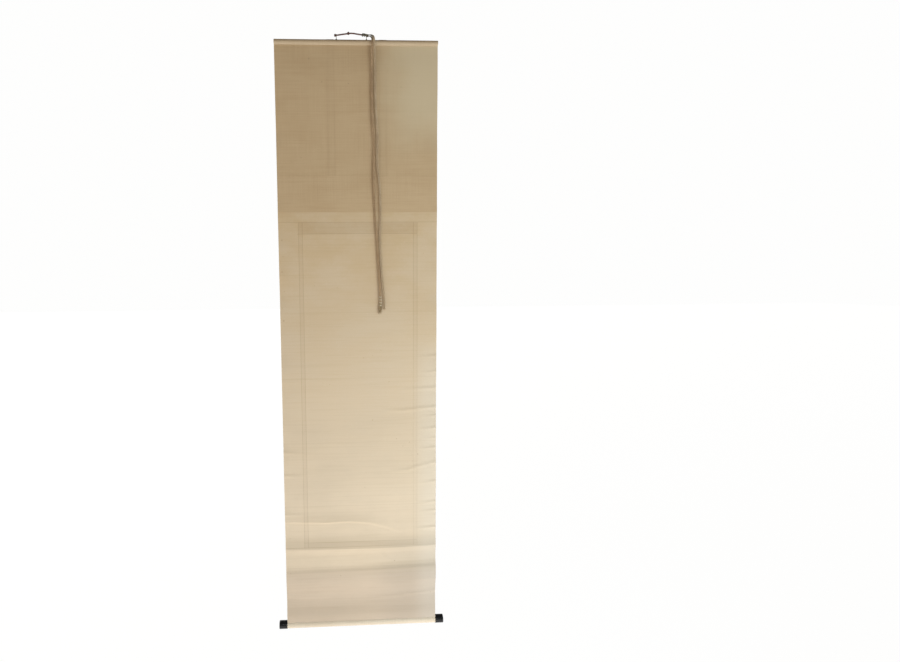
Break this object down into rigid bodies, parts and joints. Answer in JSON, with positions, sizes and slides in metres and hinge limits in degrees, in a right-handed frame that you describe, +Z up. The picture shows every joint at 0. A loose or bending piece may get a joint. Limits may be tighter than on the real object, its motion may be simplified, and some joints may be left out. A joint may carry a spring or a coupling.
{
  "type": "hanging scroll",
  "caption": "Unrolled hanging scroll: paper and silk sheet on a wooden stave with hanging and winding cords, weighted by a roller with black lacquered knobs.",
  "frame": {"origin": "the hanging point: the underside of the hanging cord at its peak, where it sits on its hook", "axes": "+Z up along the hanging sheet, -Y out of the picture side, +Y out of the backing side, +X to the right seen from the picture side"},
  "size_m": [0.476, 0.0328, 1.6466],
  "materials": {
    "mount_silk": "matt plain silk, aged",
    "pillar_silk": "matt figured silk, aged",
    "strip_silk": "ribbed silk with a soft sheen",
    "picture_paper": "blank, matt, foxed",
    "backing_paper": "matt fibrous lining paper",
    "cover_silk": "thin tan silk",
    "bare_wood": "planed softwood",
    "black_lacquer": "gloss black lacquer",
    "aged_brass": "dull, with green in the hollows",
    "hanging_braid": "worn dark brown braid",
    "winding_braid": "flat faded braid"
  },
  "bodies": {
    "root": {"heaven_cloth": "mount_silk", "earth_cloth": "mount_silk", "stave_wrap": "mount_silk", "roller_wrap": "mount_silk", "pillar_left": "pillar_silk", "pillar_right": "pillar_silk", "upper_strip": "strip_silk", "lower_strip": "strip_silk", "side_strip_left": "strip_silk", "side_strip_right": "strip_silk", "hanging_strip_left": "strip_silk", "hanging_strip_right": "strip_silk", "picture_paper": "picture_paper", "backing_paper": "backing_paper", "cover_silk": "cover_silk", "top_stave": "bare_wood", "roller": "bare_wood", "knob_left": "black_lacquer", "knob_right": "black_lacquer", "eyelet_left": "aged_brass", "eyelet_right": "aged_brass", "eyelet_washer_left": "aged_brass", "eyelet_washer_right": "aged_brass", "hanging_cord": "hanging_braid", "end_knot_left": "hanging_braid", "end_knot_right": "hanging_braid", "peak_knot": "hanging_braid", "winding_hitch": "winding_braid", "winding_cord_inner": "winding_braid", "winding_cord_outer": "winding_braid"}
  },
  "joints": []
}
